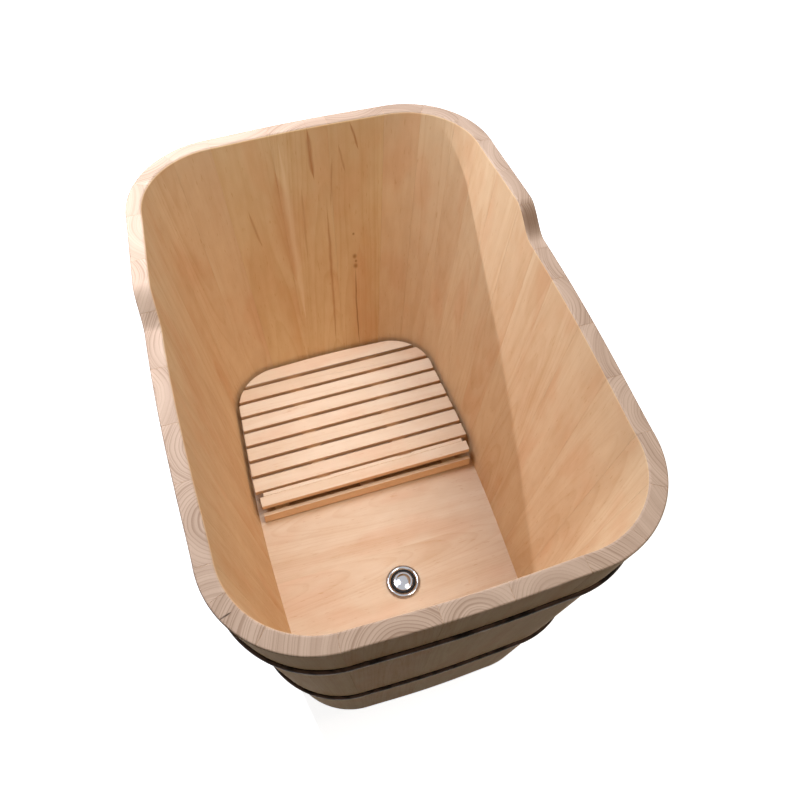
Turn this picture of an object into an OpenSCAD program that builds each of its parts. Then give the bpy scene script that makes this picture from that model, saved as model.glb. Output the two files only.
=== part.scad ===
// Wooden soaking tub for one person: upright staves held by two hoops, a board floor,
// a low slatted seat that lifts out, and a waste with a pop-up plug.
// Millimetres. X is across the tub, -Y is the low foot end, +Y the high seat end, Z is up.
// The origin is on the ground in the middle of the tub's plan.

/* [Tub] */
// Overall length over the rim, front to back
rim_l = 986; // [900:1:1100]
// Overall width over the rim
rim_w = 688; // [620:1:760]
// Height of the low rim round the front and the sides
rim_h = 725; // [660:1:780]
// How much higher the rim is round the back
back_rise = 37; // [15:1:60]
// Length of the curved step between the low rim and the high rim
step_l = 76; // [50:1:120]
// Distance of the middle of the step behind the middle of the tub
step_y = 122; // [60:1:200]
// How far the base stands in from the rim at the front
front_rake = 136; // [80:1:160]
// How far the base stands in from the rim at the back
back_rake = 57; // [20:1:100]
// How far the base stands in from the rim on each side
side_rake = 81; // [50:1:100]
// Corner radius of the rim, to the outer face
rim_r = 167; // [120:1:200]
// Corner radius of the base, to the outer face
base_r = 130; // [90:1:160]
// How far each side bows out in the middle
side_bow = 11; // [0:0.5:18]
// How far the front and the back bow out in the middle
end_bow = 4.5; // [0:0.5:10]
// Thickness of the staves
wall_t = 27.5; // [22:0.5:34]
// Radius worked on the inner edge of the rim
rim_inner_round = 4; // [1:0.5:8]
// Radius worked on the outer edge of the rim
rim_outer_round = 3; // [1:0.5:8]

/* [Floor] */
// Height of the floor's top face above the ground
floor_z = 80; // [70:1:110]
// Thickness of the floor boards
floor_t = 28; // [20:1:34]
// Width of the front floor board, which holds the drain
front_board_w = 260; // [230:1:300]
// Depth of the groove in the staves that holds the floor boards
croze_d = 8; // [5:0.5:12]
// Width of the two bearers under the floor
bearer_w = 45; // [30:1:60]
// Distance of each bearer from the centre line
bearer_x = 120; // [90:1:150]

/* [Hoops] */
// Height of the lower hoop
low_hoop_z = 258; // [200:1:320]
// Height of the upper hoop
high_hoop_z = 600; // [520:1:630]
// Diameter of the hoop rod
hoop_d = 9; // [5:0.5:11]
// Width of the groove that the hoop lies in
hoop_groove_w = 13; // [10:0.5:16]
// Depth of the groove that the hoop lies in
hoop_groove_d = 4; // [3:0.5:8]

/* [Seat] */
// Height of the seat's top above the floor
seat_h = 60.5; // [50:0.5:120]
// Thickness of the slats
slat_t = 12; // [8:0.5:18]
// Width of the straight slats
slat_w = 31.5; // [24:0.5:40]
// Gap between slats
slat_gap = 8; // [4:0.5:12]
// Width of the rounded slat at the back
back_slat_w = 37; // [28:0.5:50]
// Gap between the seat's edge and the wall of the tub
seat_gap = 10; // [6:0.5:16]
// Gap between the last slat and the cross rail
rail_gap = 6; // [4:0.5:10]
// Thickness of the cross rail
rail_t = 8.5; // [7:0.5:14]
// How much shorter the cross rail is than the seat, at each end
rail_short = 9; // [4:1:30]
// Depth of the housings in the cross rail that hold the battens' ends
housing_d = 2.5; // [1:0.5:4]
// Width of the nosing in front of the cross rail
nosing_w = 23.5; // [18:0.5:30]
// Thickness of the front board
front_board_t = 8; // [6:0.5:14]
// Height of the front board
front_board_h = 27; // [20:0.5:34]
// How far the front board stands forward of the nosing
front_board_set = 7; // [0:0.5:7.5]
// Gap under the front board and the cross rail, for draining
seat_drain_gap = 5; // [3:0.5:10]
// Width of the two battens under the slats
batten_w = 30; // [20:1:40]
// Distance of each batten from the centre line
batten_x = 92; // [60:1:130]
// Height of the spacer blocks behind the front board
block_h = 14; // [10:1:27]
// Width of the spacer blocks behind the front board
block_w = 32; // [20:1:50]
// Distance of the outer spacer blocks from the centre line
block_x = 190; // [140:1:205]

/* [Waste] */
// Distance of the drain from the floor's front edge
drain_set = 186.5; // [165:0.5:200]
// Distance of the drain to the right of the centre line
drain_x = 7; // [-20:1:20]
// Outer diameter of the flange
flange_d = 70; // [64:1:80]
// Height of the flange above its gasket
flange_h = 4.7; // [3.5:0.1:6]
// Diameter of the throat at its lip
throat_d = 50.4; // [50.2:0.2:51]
// Outer diameter of the threaded body
body_d = 47.8; // [46:0.2:49]
// Wall of the threaded body
body_wall = 3; // [2.5:0.1:3.5]
// Thickness of the gasket under the flange
gasket_t = 1.5; // [1:0.1:2.5]
// Thickness of the rubber washer under the floor
washer_t = 3; // [2:0.5:4]
// Thickness of the lock nut
nut_t = 9; // [7:0.5:10]
// Width of the lock nut across its flats
nut_af = 62; // [58:1:70]
// Outer diameter of the outlet spigot
spigot_d = 40; // [38:0.5:42]
// Wall of the outlet spigot
spigot_wall = 2.5; // [2:0.1:3]
// Length of the outlet spigot
spigot_l = 24; // [18:1:26]
// Height of the outlet's end above the ground
outlet_z = 8; // [4:1:12]

/* [Plug] */
// Diameter of the domed cap
cap_d = 40; // [34:1:42]
// Height of the cap's dome
cap_h = 4; // [2.5:0.1:6]
// Diameter of the rubber seal
seal_d = 48; // [46:0.1:48]
// Thickness of the rubber seal
seal_t = 2; // [1.5:0.1:3]
// Diameter of the plug's stem
stem_d = 9.9; // [8:0.1:12]
// Radial running gap between the stem and its guide
stem_gap = 0.05; // [0.02:0.01:0.1]
// Height by which the plug pops up
plug_travel = 8; // [5:0.5:10]

/* [Hidden] */
high_h = rim_h + back_rise;
floor_bottom = floor_z - floor_t;
seat_top = floor_z + seat_h;
slat_bottom = seat_top - slat_t;

// Clearances
board_gap = 0.3;
rest_gap = 0.3;
nut_gap = 0.2;
bearer_set = 8;
hoop_gap = 0.6;

// Straight pieces in each stretch of the outline, in an edge's rounding and round a hoop rod
corner_steps = 16;
side_steps = 10;
end_steps = 6;
round_steps = 3;
hoop_sides = 10;

// Spacing of the rings that a stave is drawn through
corner_pitch = 11;
side_pitch = 40;
step_pitch = 7;

wood = [0.87, 0.71, 0.52];
pale_wood = [0.93, 0.80, 0.62];
floor_wood = [0.90, 0.75, 0.56];
wire = [0.25, 0.19, 0.14];
chrome = [0.80, 0.80, 0.82];
black = [0.08, 0.08, 0.08];
brass_colour = [0.72, 0.58, 0.30];

// The staves in eight groups, anticlockwise from the front right corner. Each group has a name,
// the distance from the start of its stretch of the rim to its first joint, and the widths
// in proportion to which its staves share the rim up to the next group.
stave_groups = [
    ["front_right_stave", -12, [91, 91, 95]],
    ["right_stave", 3, [103, 106, 105, 73, 78, 91, 91]],
    ["back_right_stave", 9.5, [83, 84, 85]],
    ["back_stave", -1, [111, 111, 110]],
    ["back_left_stave", -1, [88, 87, 86]],
    ["left_stave", -2, [108, 97, 105, 107, 100, 130]],
    ["front_left_stave", 4.5, [53, 85, 106]],
    ["front_stave", -13.5, [130, 96, 108]]
];
staves = [for (g = [0 : 7]) for (i = [0 : len(stave_groups[g][2]) - 1]) [g, i]];
function stave_name(s) = str(stave_groups[s[0]][0], "_", s[1] + 1);

slat_count = 8;
floor_boards = ["floor_board_front", "floor_board_2", "floor_board_3", "floor_board_back"];

// ---- Plan of the tub ----
// The plan is a rounded rectangle with bowed sides, drawn as eight stretches that run
// anticlockwise from the front right corner: corner, side, corner, back and so on.
// A place on it is [stretch, share of the stretch from 0 to 1].

function mix(a, b, t) = a + (b - a) * t;

// Outer faces at height z, where the corners meet the bowed sides and ends
function side_x(z) = rim_w / 2 - side_bow - side_rake * (1 - z / rim_h);
function front_y(z) = -rim_l / 2 + end_bow + front_rake * (1 - z / rim_h);
function back_y(z) = rim_l / 2 - end_bow - back_rake * (1 - z / high_h);
function corner_r(z) = mix(base_r, rim_r, z / rim_h);

function corner_x(z) = side_x(z) - corner_r(z);
function corner_front_y(z) = front_y(z) + corner_r(z);
function corner_back_y(z) = back_y(z) - corner_r(z);
function corner_centre(z, k) = [
    (k % 4 == 0 || k % 4 == 1) ? corner_x(z) : -corner_x(z),
    (k % 4 == 0 || k % 4 == 3) ? corner_front_y(z) : corner_back_y(z)
];

// A bow keeps its share of its side's length at every height, so that every facet of the wall is flat
function side_length(z) = corner_back_y(z) - corner_front_y(z);
function side_bow_at(z) = side_bow * side_length(z) / side_length(rim_h);
function end_bow_at(z) = end_bow * corner_x(z) / corner_x(rim_h);
function bulge(t) = pow(4 * t * (1 - t), 1.3);

// Point of the plan at height z, inset from the outer face
function spot(z, inset, place) =
    let (
        k = floor(place[0] / 2),
        t = place[1],
        on_corner = place[0] % 2 == 0,
        angle = on_corner ? 90 * (k - 1 + t) : 90 * k,
        bow = on_corner ? 0 : (k % 2 == 0 ? side_bow_at(z) : end_bow_at(z)) * bulge(t),
        centre = on_corner ? corner_centre(z, k) : mix(corner_centre(z, k), corner_centre(z, k + 1), t),
        reach = corner_r(z) - inset + bow
    )
    [centre[0] + reach * cos(angle), centre[1] + reach * sin(angle)];

function total(v, n) = n > 0 ? v[n - 1] + total(v, n - 1) : 0;

// Lengths of the eight stretches along the low rim
arc_len = rim_r * PI / 2;
side_len = side_length(rim_h);
end_len = 2 * corner_x(rim_h);
stretch_len = [for (s = [0 : 7]) s % 2 == 0 ? arc_len : (s % 4 == 1 ? side_len : end_len)];
rim_len = total(stretch_len, 8);

function place_from(d, s) =
    d <= stretch_len[s] || s == 7 ? [s, d / stretch_len[s]] : place_from(d - stretch_len[s], s + 1);
function place_at(d) = place_from((d % rim_len + rim_len) % rim_len, 0);

// Places all round the plan, for outlines
function stretch_steps(s) = s % 2 == 0 ? corner_steps : (s % 4 == 1 ? side_steps : end_steps);
all_places = [for (s = [0 : 7]) for (i = [0 : stretch_steps(s) - 1]) [s, i / stretch_steps(s)]];

function outline(z, inset) = [for (p = all_places) spot(z, inset, p)];

// ---- Rim ----

function ease(t) = t <= 0 ? 0 : (t >= 1 ? 1 : t * t * (3 - 2 * t));
function rim_z(y) = rim_h + back_rise * ease((y - step_y) / step_l + 0.5);

// ---- Staves ----

function hoop_groove(z) = [
    [0, z - hoop_groove_w / 2],
    [hoop_groove_d, z - hoop_groove_w / 2],
    [hoop_groove_d, z + hoop_groove_w / 2],
    [0, z + hoop_groove_w / 2]
];

// Section of the wall as [inset, height], up the outer face and down the inner face
function wall_section(top) = concat(
    [[0, 0]],
    hoop_groove(low_hoop_z),
    hoop_groove(high_hoop_z),
    [for (i = [0 : round_steps]) let (a = 90 * i / round_steps)
        [rim_outer_round * (1 - cos(a)), top - rim_outer_round * (1 - sin(a))]],
    [for (i = [round_steps : -1 : 0]) let (a = 90 * i / round_steps)
        [wall_t - rim_inner_round * (1 - cos(a)), top - rim_inner_round * (1 - sin(a))]],
    [
        [wall_t, floor_z],
        [wall_t - croze_d, floor_z],
        [wall_t - croze_d, floor_bottom],
        [wall_t, floor_bottom],
        [wall_t, 0]
    ]
);

function wall_ring(place) =
    let (top = rim_z(spot(rim_h, 0, place)[1]))
    [for (p = wall_section(top)) let (q = spot(p[1], p[0], place)) [q[0], q[1], p[1]]];

// The wall section cut into convex pieces, each as the order of its points
section_pieces = let (i = 10 + 2 * round_steps) [
    [0, i + 5, i + 4, i + 3],
    [0, i + 3, i + 2, 1],
    [1, i + 2, i + 1, 2],
    [2, i + 1, i, 3],
    [3, i, 6],
    [4, 3, 6, 5],
    [6, i, 7],
    concat([8, 7], [for (j = [i : -1 : 9]) j])
];

// Solid through a row of rings with the same number of points, its ends closed by these pieces
module loft(rings, pieces = []) {
    m = len(rings[0]);
    n = len(rings) - 1;
    walls = [for (i = [0 : n - 1]) for (j = [0 : m - 1])
        let (a = i * m + j, b = i * m + (j + 1) % m)
        each [[a, b, b + m], [a, b + m, a + m]]];
    first = len(pieces) > 0 ? pieces : [[for (j = [m - 1 : -1 : 0]) j]];
    last = [for (p = first) [for (j = [len(p) - 1 : -1 : 0]) n * m + p[j]]];
    polyhedron(points = [for (r = rings) each r], faces = concat(walls, first, last), convexity = 6);
}

function group_start(g) = total(stretch_len, g) + stave_groups[g % 8][1];
function joint_at(g, i) =
    let (widths = stave_groups[g][2])
    mix(group_start(g), group_start(g + 1), total(widths, i) / total(widths, len(widths)));

// Rings stand at a stave's edges and where a corner meets a side, closer together on a corner and
// closest where the rim's step is
function crosses_step(y0, y1) =
    min(y0, y1) < step_y + step_l / 2 && max(y0, y1) > step_y - step_l / 2;
function ring_pitch(from, to) =
    let (a = place_at(from + 1), b = place_at(to - 1))
    crosses_step(spot(rim_h, 0, a)[1], spot(rim_h, 0, b)[1]) ? step_pitch
        : (a[0] % 2 == 0 ? corner_pitch : side_pitch);
function rings_between(from, to) =
    let (n = ceil((to - from) / ring_pitch(from, to)))
    [for (k = [0 : n - 1]) mix(from, to, k / n)];
function ring_distances(from, to) =
    let (
        bends = [for (s = [0 : 8]) let (d = total(stretch_len, s)) if (d > from && d < to) d],
        stops = concat([from], bends, [to])
    )
    concat([for (i = [0 : len(stops) - 2]) each rings_between(stops[i], stops[i + 1])], [to]);

module stave(s) {
    from = joint_at(s[0], s[1]);
    to = joint_at(s[0], s[1] + 1);
    color(s[1] % 2 == 0 ? wood : pale_wood)
        loft([for (d = ring_distances(from, to)) wall_ring(place_at(d))], section_pieces);
}

// ---- Floor ----

floor_inset = wall_t - croze_d + board_gap;
floor_front = front_y(floor_z) - end_bow_at(floor_z) + floor_inset;
floor_back = back_y(floor_z) + end_bow_at(floor_z) - floor_inset;
board_w = (floor_back - floor_front - front_board_w) / (len(floor_boards) - 1);
function board_front(i) = floor_front + (i == 0 ? 0 : front_board_w + (i - 1) * board_w);
drain = [drain_x, floor_front + drain_set];

module floor_blank() {
    lower = [for (q = outline(floor_bottom, floor_inset)) [q[0], q[1], floor_bottom]];
    upper = [for (q = outline(floor_z, floor_inset)) [q[0], q[1], floor_z]];
    loft([upper, lower]);
}

module floor_board(i) {
    from = board_front(i) - (i == 0 ? wall_t : 0);
    to = board_front(i + 1) + (i == len(floor_boards) - 1 ? wall_t : 0);
    color(floor_wood)
        difference() {
            intersection() {
                floor_blank();
                translate([-rim_w / 2, from, floor_bottom - 1])
                    cube([rim_w, to - from, floor_t + 2]);
            }
            translate([drain[0], drain[1], floor_bottom - 1])
                cylinder(r = body_d / 2 + board_gap * 2, h = floor_t + 2, $fn = 64);
        }
}

module floor_bearer(side) {
    from = front_y(0) + wall_t + bearer_set;
    to = back_y(0) - wall_t - bearer_set;
    color(wood)
        translate([side * bearer_x - bearer_w / 2, from, 0])
            cube([bearer_w, to - from, floor_bottom]);
}

// ---- Hoops ----

hoop_inset = hoop_groove_d - hoop_d / 2 - hoop_gap;

function hoop_ring(z, place) =
    [for (i = [0 : hoop_sides - 1]) let (
        a = -360 * i / hoop_sides,
        h = z + hoop_d / 2 * sin(a),
        q = spot(z, hoop_inset - hoop_d / 2 * cos(a), place)
    ) [q[0], q[1], h]];

module hoop(z) {
    rings = [for (p = all_places) hoop_ring(z, p)];
    m = hoop_sides;
    n = len(rings);
    faces = [for (i = [0 : n - 1]) for (j = [0 : m - 1])
        let (
            a = i * m + j,
            b = i * m + (j + 1) % m,
            c = ((i + 1) % n) * m + (j + 1) % m,
            d = ((i + 1) % n) * m + j
        )
        each [[a, c, b], [a, d, c]]];
    color(wire)
        polyhedron(points = [for (r = rings) each r], faces = faces, convexity = 6);
}

// ---- Seat ----

seat_back = back_y(seat_top) + end_bow_at(seat_top) - wall_t - seat_gap;
slat_pitch = slat_w + slat_gap;
function slat_front(k) = seat_back - back_slat_w - (k - 1) * slat_pitch;
function slat_back(k) = k == 1 ? seat_back : slat_front(k) + slat_w;

rail_back = slat_front(slat_count) - rail_gap;
rail_front = rail_back - rail_t;
nosing_front = rail_front - nosing_w;
front_board_front = nosing_front - front_board_set;
front_board_back = front_board_front + front_board_t;
seat_foot = floor_z + rest_gap;
board_bottom = floor_z + seat_drain_gap;

// Part of the seat's plan between two lines across the tub, as wide as fits at height z
module seat_strip(z, from, to, shorter = 0) {
    intersection() {
        polygon(outline(z, wall_t + seat_gap));
        translate([-rim_w / 2 + shorter, from])
            square([rim_w - 2 * shorter, to - from]);
    }
}

module seat_slat(k) {
    color(pale_wood)
        translate([0, 0, slat_bottom])
            linear_extrude(slat_t)
                seat_strip(seat_top, slat_front(k), slat_back(k));
}

module seat_nosing() {
    color(pale_wood)
        translate([0, 0, slat_bottom])
            linear_extrude(slat_t)
                seat_strip(floor_z, nosing_front, rail_front);
}

seat_half = side_x(floor_z) + side_bow_at(floor_z) - wall_t - seat_gap;
module seat_cross_rail() {
    color(pale_wood)
        difference() {
            translate([rail_short - seat_half, rail_front, board_bottom])
                cube([2 * (seat_half - rail_short), rail_t, seat_top - board_bottom]);
            for (side = [-1, 1])
                translate([side * batten_x - batten_w / 2, rail_back - housing_d, board_bottom - 1])
                    cube([batten_w, housing_d + 1, seat_top - board_bottom + 2]);
        }
}

module seat_batten(side) {
    from = rail_back - housing_d;
    to = seat_back - back_slat_w / 3;
    color(wood)
        translate([side * batten_x - batten_w / 2, from, seat_foot])
            cube([batten_w, to - from, slat_bottom - seat_foot]);
}

module seat_front_board() {
    color(wood)
        translate([0, 0, board_bottom])
            linear_extrude(front_board_h)
                seat_strip(floor_z, front_board_front, front_board_back);
}

module seat_spacer_blocks() {
    color(wood)
        for (side = [-1, 0, 1])
            translate([side * block_x - block_w / 2, front_board_back, seat_foot])
                cube([block_w, rail_front - front_board_back, block_h]);
}

// ---- Waste ----
// Heights here are measured from the floor's top face.

flange_bottom = gasket_t;
flange_top = flange_bottom + flange_h;
bore_r = body_d / 2 - body_wall;
spigot_bore_r = spigot_d / 2 - spigot_wall;
lip_z = flange_top - 1.9;
cone_z = -1.5;
outlet_end = outlet_z - floor_z;
spigot_top = outlet_end + spigot_l;
guide_r = stem_d / 2 + 3;
guide_top = -16;
guide_h = 14;
rib_t = 3;

module at_drain() {
    translate([drain[0], drain[1], floor_z])
        children();
}

// Half section of the waste, from its gasket round the flange and down the bore
module waste_section() {
    r = flange_d / 2;
    lip_r = throat_d / 2;
    polygon([
        [body_d / 2, flange_bottom],
        [r - 0.8, flange_bottom],
        [r, flange_bottom + 0.8],
        [r - 0.7, flange_bottom + flange_h * 0.52],
        [r - 2.2, flange_bottom + flange_h * 0.82],
        [r - 4.2, flange_top],
        [r - 6.4, flange_top - 0.1],
        [lip_r + 1.6, lip_z + 0.9],
        [lip_r, lip_z],
        [bore_r + 0.6, cone_z],
        [bore_r, cone_z - 2],
        [bore_r, spigot_top + 3],
        [spigot_bore_r, spigot_top - 1],
        [spigot_bore_r, outlet_end],
        [spigot_d / 2, outlet_end],
        [spigot_d / 2, spigot_top],
        [body_d / 2, spigot_top]
    ]);
}

module waste_body() {
    color(chrome)
        at_drain()
            difference() {
                union() {
                    rotate_extrude($fn = 96)
                        waste_section();
                    translate([0, 0, guide_top - guide_h])
                        cylinder(r = guide_r, h = guide_h, $fn = 48);
                    for (a = [90, 210, 330])
                        rotate([0, 0, a])
                            translate([guide_r - 1, -rib_t / 2, guide_top - guide_h])
                                cube([bore_r - guide_r + 2, rib_t, guide_h - 2]);
                }
                translate([0, 0, guide_top - guide_h - 1])
                    cylinder(r = stem_d / 2 + stem_gap, h = guide_h + 2, $fn = 48);
            }
}

module flat_ring(outer_r, inner_r, bottom, thick) {
    translate([0, 0, bottom])
        difference() {
            cylinder(r = outer_r, h = thick, $fn = 96);
            translate([0, 0, -1])
                cylinder(r = inner_r, h = thick + 2, $fn = 96);
        }
}

module flange_gasket() {
    color(black)
        at_drain()
            flat_ring(flange_d / 2 - 0.8, body_d / 2 + nut_gap, 0, gasket_t);
}

module under_floor_washer() {
    color(black)
        at_drain()
            flat_ring(nut_af / 2 + 3, body_d / 2 + nut_gap, -floor_t - washer_t, washer_t);
}

module lock_nut() {
    bottom = -floor_t - washer_t - nut_t;
    color(brass_colour)
        at_drain()
            difference() {
                translate([0, 0, bottom])
                    cylinder(r = nut_af / 2 / cos(30), h = nut_t, $fn = 6);
                translate([0, 0, bottom - 1])
                    cylinder(r = body_d / 2 + nut_gap, h = nut_t + 2, $fn = 96);
            }
}

// ---- Plug, shown closed ----

seal_bottom = 2.4;
cap_bottom = seal_bottom + seal_t;
stem_bottom = guide_top - guide_h - plug_travel - 4;
collar_h = 3;

module plug_cap() {
    r = cap_d / 2;
    color(chrome)
        at_drain()
            rotate_extrude($fn = 96)
                polygon([
                    [0, cap_bottom],
                    [r - 0.8, cap_bottom],
                    [r, cap_bottom + 0.6],
                    [r - 0.3, cap_bottom + cap_h * 0.3],
                    [r * 0.9, cap_bottom + cap_h * 0.52],
                    [r * 0.7, cap_bottom + cap_h * 0.76],
                    [r * 0.4, cap_bottom + cap_h * 0.94],
                    [0, cap_bottom + cap_h]
                ]);
}

module plug_seal() {
    r = seal_d / 2;
    color(black)
        at_drain()
            rotate_extrude($fn = 96)
                polygon([
                    [stem_d / 2, seal_bottom],
                    [r - 0.6, seal_bottom],
                    [r, seal_bottom + 0.6],
                    [r, cap_bottom - 0.6],
                    [r - 0.6, cap_bottom],
                    [stem_d / 2, cap_bottom]
                ]);
}

module plug_stem() {
    color(brass_colour)
        at_drain()
            translate([0, 0, stem_bottom]) {
                cylinder(r = stem_d / 2, h = cap_bottom - stem_bottom, $fn = 48);
                cylinder(r = guide_r - 1, h = collar_h, $fn = 48);
            }
}

// ---- Nodes ----

for (s = staves)
    stave(s);
for (i = [0 : len(floor_boards) - 1])
    floor_board(i);
floor_bearer(-1);  // floor_bearer_left
floor_bearer(1);  // floor_bearer_right
hoop(low_hoop_z);  // lower_hoop
hoop(high_hoop_z);  // upper_hoop
for (k = [1 : slat_count])
    seat_slat(k);
seat_nosing();
seat_cross_rail();
seat_batten(-1);  // seat_batten_left
seat_batten(1);  // seat_batten_right
seat_front_board();
seat_spacer_blocks();
waste_body();
flange_gasket();
under_floor_washer();
lock_nut();
plug_cap();
plug_seal();
plug_stem();
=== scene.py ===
"""Dresses a wooden soaking tub: coopered staves, a board floor, two hoops in grooves,
a slatted seat that lifts out, and a chrome waste with a pop-up plug.

Metres. X is across the tub, -Y its low foot end, Z is up from the ground.
"""

import math
import random

import bmesh
import bpy
from mathutils import Matrix, Vector


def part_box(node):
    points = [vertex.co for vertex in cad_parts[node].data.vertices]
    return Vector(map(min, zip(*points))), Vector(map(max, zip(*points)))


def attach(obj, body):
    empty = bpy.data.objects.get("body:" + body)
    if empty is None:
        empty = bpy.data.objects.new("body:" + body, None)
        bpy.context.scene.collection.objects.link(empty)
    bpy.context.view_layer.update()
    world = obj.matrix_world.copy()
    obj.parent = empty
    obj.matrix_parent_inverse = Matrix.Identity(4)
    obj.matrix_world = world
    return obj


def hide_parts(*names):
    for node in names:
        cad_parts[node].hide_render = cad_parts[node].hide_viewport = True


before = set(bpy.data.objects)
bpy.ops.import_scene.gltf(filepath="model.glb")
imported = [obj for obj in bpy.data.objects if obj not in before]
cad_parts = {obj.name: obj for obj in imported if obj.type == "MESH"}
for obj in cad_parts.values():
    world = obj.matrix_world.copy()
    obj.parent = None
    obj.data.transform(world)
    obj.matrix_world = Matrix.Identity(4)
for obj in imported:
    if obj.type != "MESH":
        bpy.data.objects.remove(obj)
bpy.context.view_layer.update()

MM = 0.001


# ---- Sizes ----

RIM_LENGTH = 986 * MM
RIM_WIDTH = 688 * MM
WALL = 27.5 * MM
# How far the wall leans out from the ground to the rim.
FRONT_RAKE = 136 * MM
BACK_RAKE = 57 * MM
SIDE_RAKE = 81 * MM
# The corners, measured on the outside, and how far the sides and ends bow out between them.
RIM_RADIUS = 167 * MM
BASE_RADIUS = 130 * MM
SIDE_BOW = 11 * MM
END_BOW = 4.5 * MM
# Above 1, the bow keeps more to the middle and runs out flatter into the corners.
BOW_POWER = 1.3
# A little less bow than the CAD's keeps these finer meshes inside its box.
BOW_SHARE = 0.98
# The slope where the low rim rises to the high one, and the roundings of the rim's edges.
STEP_LENGTH = 76 * MM
STEP_Y = 122 * MM
RIM_ROUND_INNER = 4 * MM
RIM_ROUND_OUTER = 3 * MM
# The hoops: rods in grooves, with a little play behind them.
GROOVE_WIDTH = 13 * MM
GROOVE_DEPTH = 4 * MM
GROOVE_ARRIS = 0.6 * MM
HOOP_ROD = 9 * MM
HOOP_GAP = 0.6 * MM
# The groove that holds the floor, and the play of the boards in it.
CROZE = 8 * MM
CROZE_PLAY = 0.3 * MM
DRAIN_HOLE = 24.5 * MM
# Eased edges: between the staves, and round their feet.
ARRIS = 0.5 * MM
FOOT_ARRIS = 1 * MM
# The seat: its gap to the wall, its battens, how deep they are let into the rail behind the
# nosing, and the spacer blocks.
SEAT_GAP = 10 * MM
BATTEN_X = 92 * MM
BATTEN_WIDTH = 30 * MM
HOUSING = 2.5 * MM
BLOCK_WIDTH = 32 * MM
RAIL_ARRIS = 0.8 * MM
# How far apart a stave's rings stand: on the slope of the rim, in a corner and on a side.
STEP_PITCH = 3 * MM
CORNER_PITCH = 6 * MM
SIDE_PITCH = 15 * MM
# A face is end grain when its normal leans this much along the grain.
CROSS_CUT = 0.45
# How much darker than its top the right and the left slope of the rim are painted: painted shade.
PAINTED_SHADE_RIGHT_SLOPE, PAINTED_SHADE_LEFT_SLOPE = 0.85, 0.1
# The drying crack in the rim at the front left, from (x, y) to (x, y) in mm.
SPLIT = ((-312, -402), (-295, -396.5))

# Each group of staves: its name, how far its first joint lies past the start of its stretch
# of the rim, and the widths in proportion to which its staves share the rim.
STAVE_GROUPS = [
    ("front_right_stave", -12, (91, 91, 95)),
    ("right_stave", 3, (103, 106, 105, 73, 78, 91, 91)),
    ("back_right_stave", 9.5, (83, 84, 85)),
    ("back_stave", -1, (111, 111, 110)),
    ("back_left_stave", -1, (88, 87, 86)),
    ("left_stave", -2, (108, 97, 105, 107, 100, 130)),
    ("front_left_stave", 4.5, (53, 85, 106)),
    ("front_stave", -13.5, (130, 96, 108)),
]

low_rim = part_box("front_stave_2")[1].z
high_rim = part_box("back_stave_2")[1].z
floor_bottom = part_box("floor_board_2")[0].z
floor_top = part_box("floor_board_2")[1].z
seat_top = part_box("seat_slat_1")[1].z
hoop_heights = [sum(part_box(n), Vector()).z / 2 for n in ("lower_hoop", "upper_hoop")]
drain = sum(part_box("waste_body"), Vector()) / 2


# ---- Plan of the tub ----
# Eight stretches, anticlockwise from the front right corner: corner, side, corner, back ...


def mix(a, b, t):
    return a + (b - a) * t


def corner_radius(z):
    return mix(BASE_RADIUS, RIM_RADIUS, z / low_rim)


def corner_x(z):
    return RIM_WIDTH / 2 - SIDE_BOW - SIDE_RAKE * (1 - z / low_rim) - corner_radius(z)


def corner_front_y(z):
    return -RIM_LENGTH / 2 + END_BOW + FRONT_RAKE * (1 - z / low_rim) + corner_radius(z)


def corner_back_y(z):
    return RIM_LENGTH / 2 - END_BOW - BACK_RAKE * (1 - z / high_rim) - corner_radius(z)


def corner_centre(z, k):
    x = corner_x(z) if k % 4 < 2 else -corner_x(z)
    y = corner_front_y(z) if k % 4 in (0, 3) else corner_back_y(z)
    return Vector((x, y))


def bow_at(z, side):
    if side:
        length = corner_back_y(z) - corner_front_y(z)
        return SIDE_BOW * length / (corner_back_y(low_rim) - corner_front_y(low_rim))
    return END_BOW * corner_x(z) / corner_x(low_rim)


def spot(z, inset, place):
    """The point of the wall at height z and place (stretch, share of it), inset from outside."""
    stretch, t = place
    k = stretch // 2
    if stretch % 2 == 0:
        angle = math.radians(90 * (k - 1 + t))
        centre = corner_centre(z, k)
        bow = 0
    else:
        angle = math.radians(90 * k)
        centre = corner_centre(z, k).lerp(corner_centre(z, k + 1), t)
        bow = BOW_SHARE * bow_at(z, k % 2 == 0) * (4 * t * (1 - t)) ** BOW_POWER
    out = Vector((math.cos(angle), math.sin(angle)))
    at = centre + out * (corner_radius(z) - inset + bow)
    return Vector((at.x, at.y, z))


def stretch_lengths():
    arc = RIM_RADIUS * math.pi / 2
    side = corner_back_y(low_rim) - corner_front_y(low_rim)
    end = 2 * corner_x(low_rim)
    return [arc, side, arc, end, arc, side, arc, end]


LENGTHS = stretch_lengths()
ROUND = sum(LENGTHS)


def place_at(distance):
    """Where a distance along the rim falls: its stretch, and how far along it from 0 to 1."""
    d = distance % ROUND
    for stretch, length in enumerate(LENGTHS):
        if d <= length or stretch == len(LENGTHS) - 1:
            return stretch, d / length
        d -= length


def outline(z, inset, pitch=8 * MM):
    n = round(ROUND / pitch)
    return [spot(z, inset, place_at(ROUND * i / n)) for i in range(n)]


def climb_at(y):
    """How far up the slope of the rim this y is, from 0 to 1."""
    return min(max((y - STEP_Y) / STEP_LENGTH + 0.5, 0), 1)


def rim_z(place):
    t = climb_at(spot(low_rim, 0, place).y)
    return low_rim + (high_rim - low_rim) * t * t * (3 - 2 * t)


# ---- Meshes ----


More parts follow.
